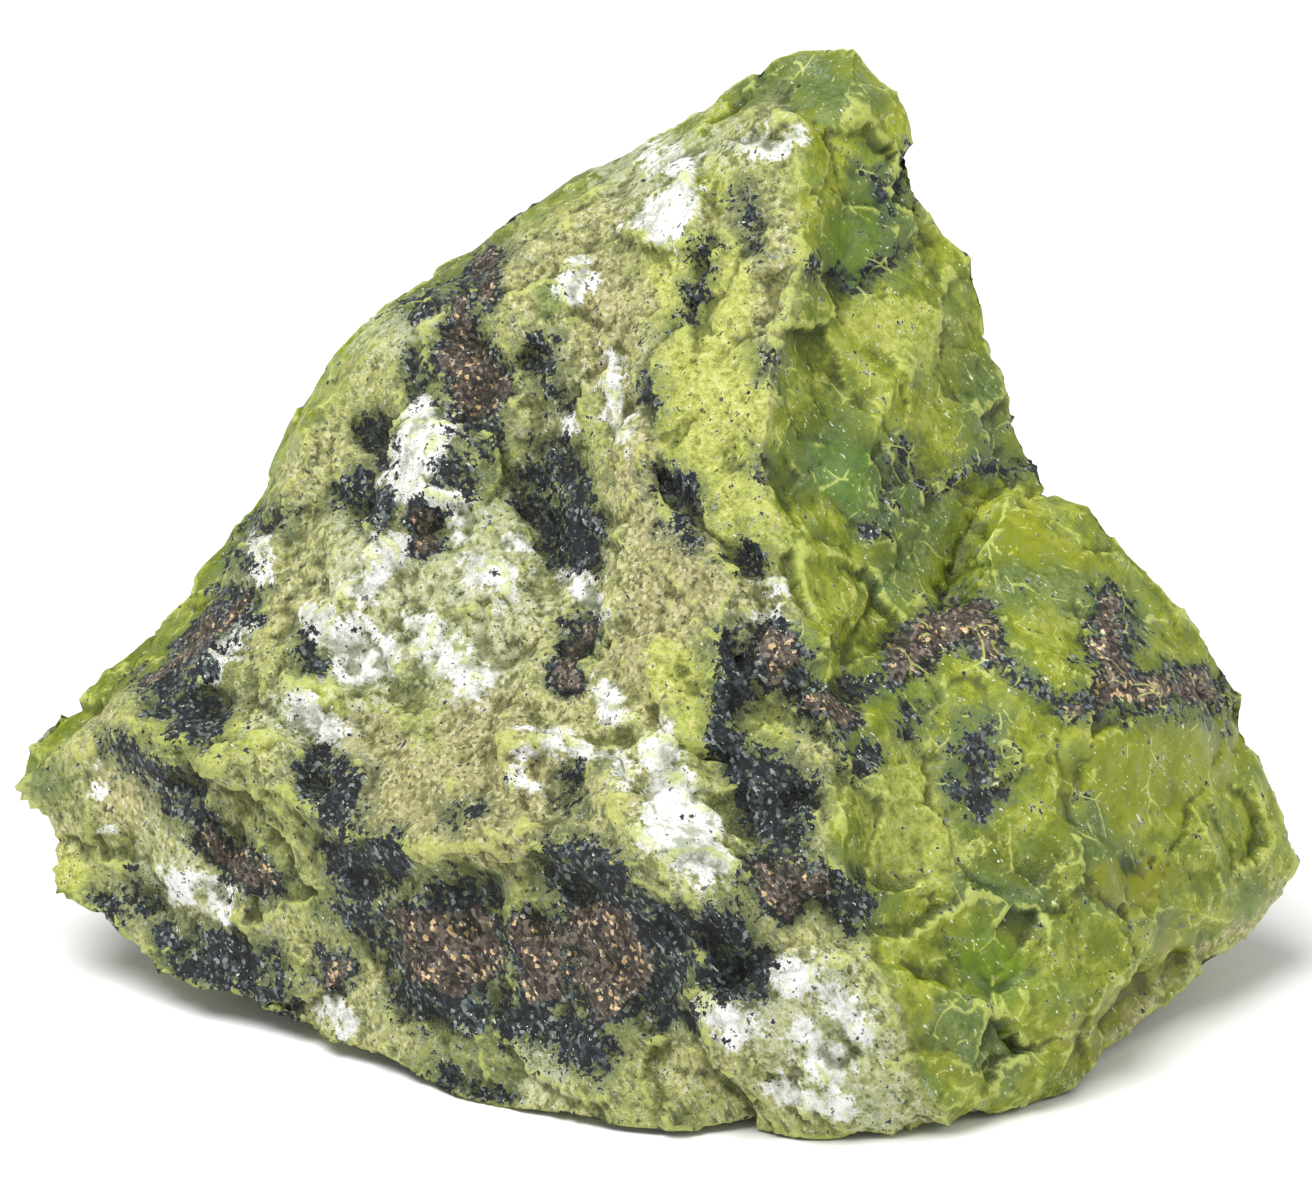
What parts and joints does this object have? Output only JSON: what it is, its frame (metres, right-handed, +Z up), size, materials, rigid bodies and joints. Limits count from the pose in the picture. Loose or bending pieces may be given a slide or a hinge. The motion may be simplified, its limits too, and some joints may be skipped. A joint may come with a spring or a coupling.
{
  "type": "serpentine rock",
  "caption": "Broken, roughly pyramid-shaped lump of yellow-green serpentine with black, white and bronze veins; rests on a small flat underside as a display or scene stone.",
  "frame": {"origin": "on the flat resting face, at the middle of the pictured front's width, at the height of the surface that the stone stands on", "axes": "+X runs along the long side, to the right as seen from the front. +Y points away from the front, into the stone's far side. +Z points up from the resting face."},
  "size_m": [0.1303, 0.0978, 0.0887],
  "materials": {
    "serpentine": "waxy to matt broken stone"
  },
  "bodies": {
    "root": {"serpentine_rock": "serpentine"}
  },
  "joints": []
}
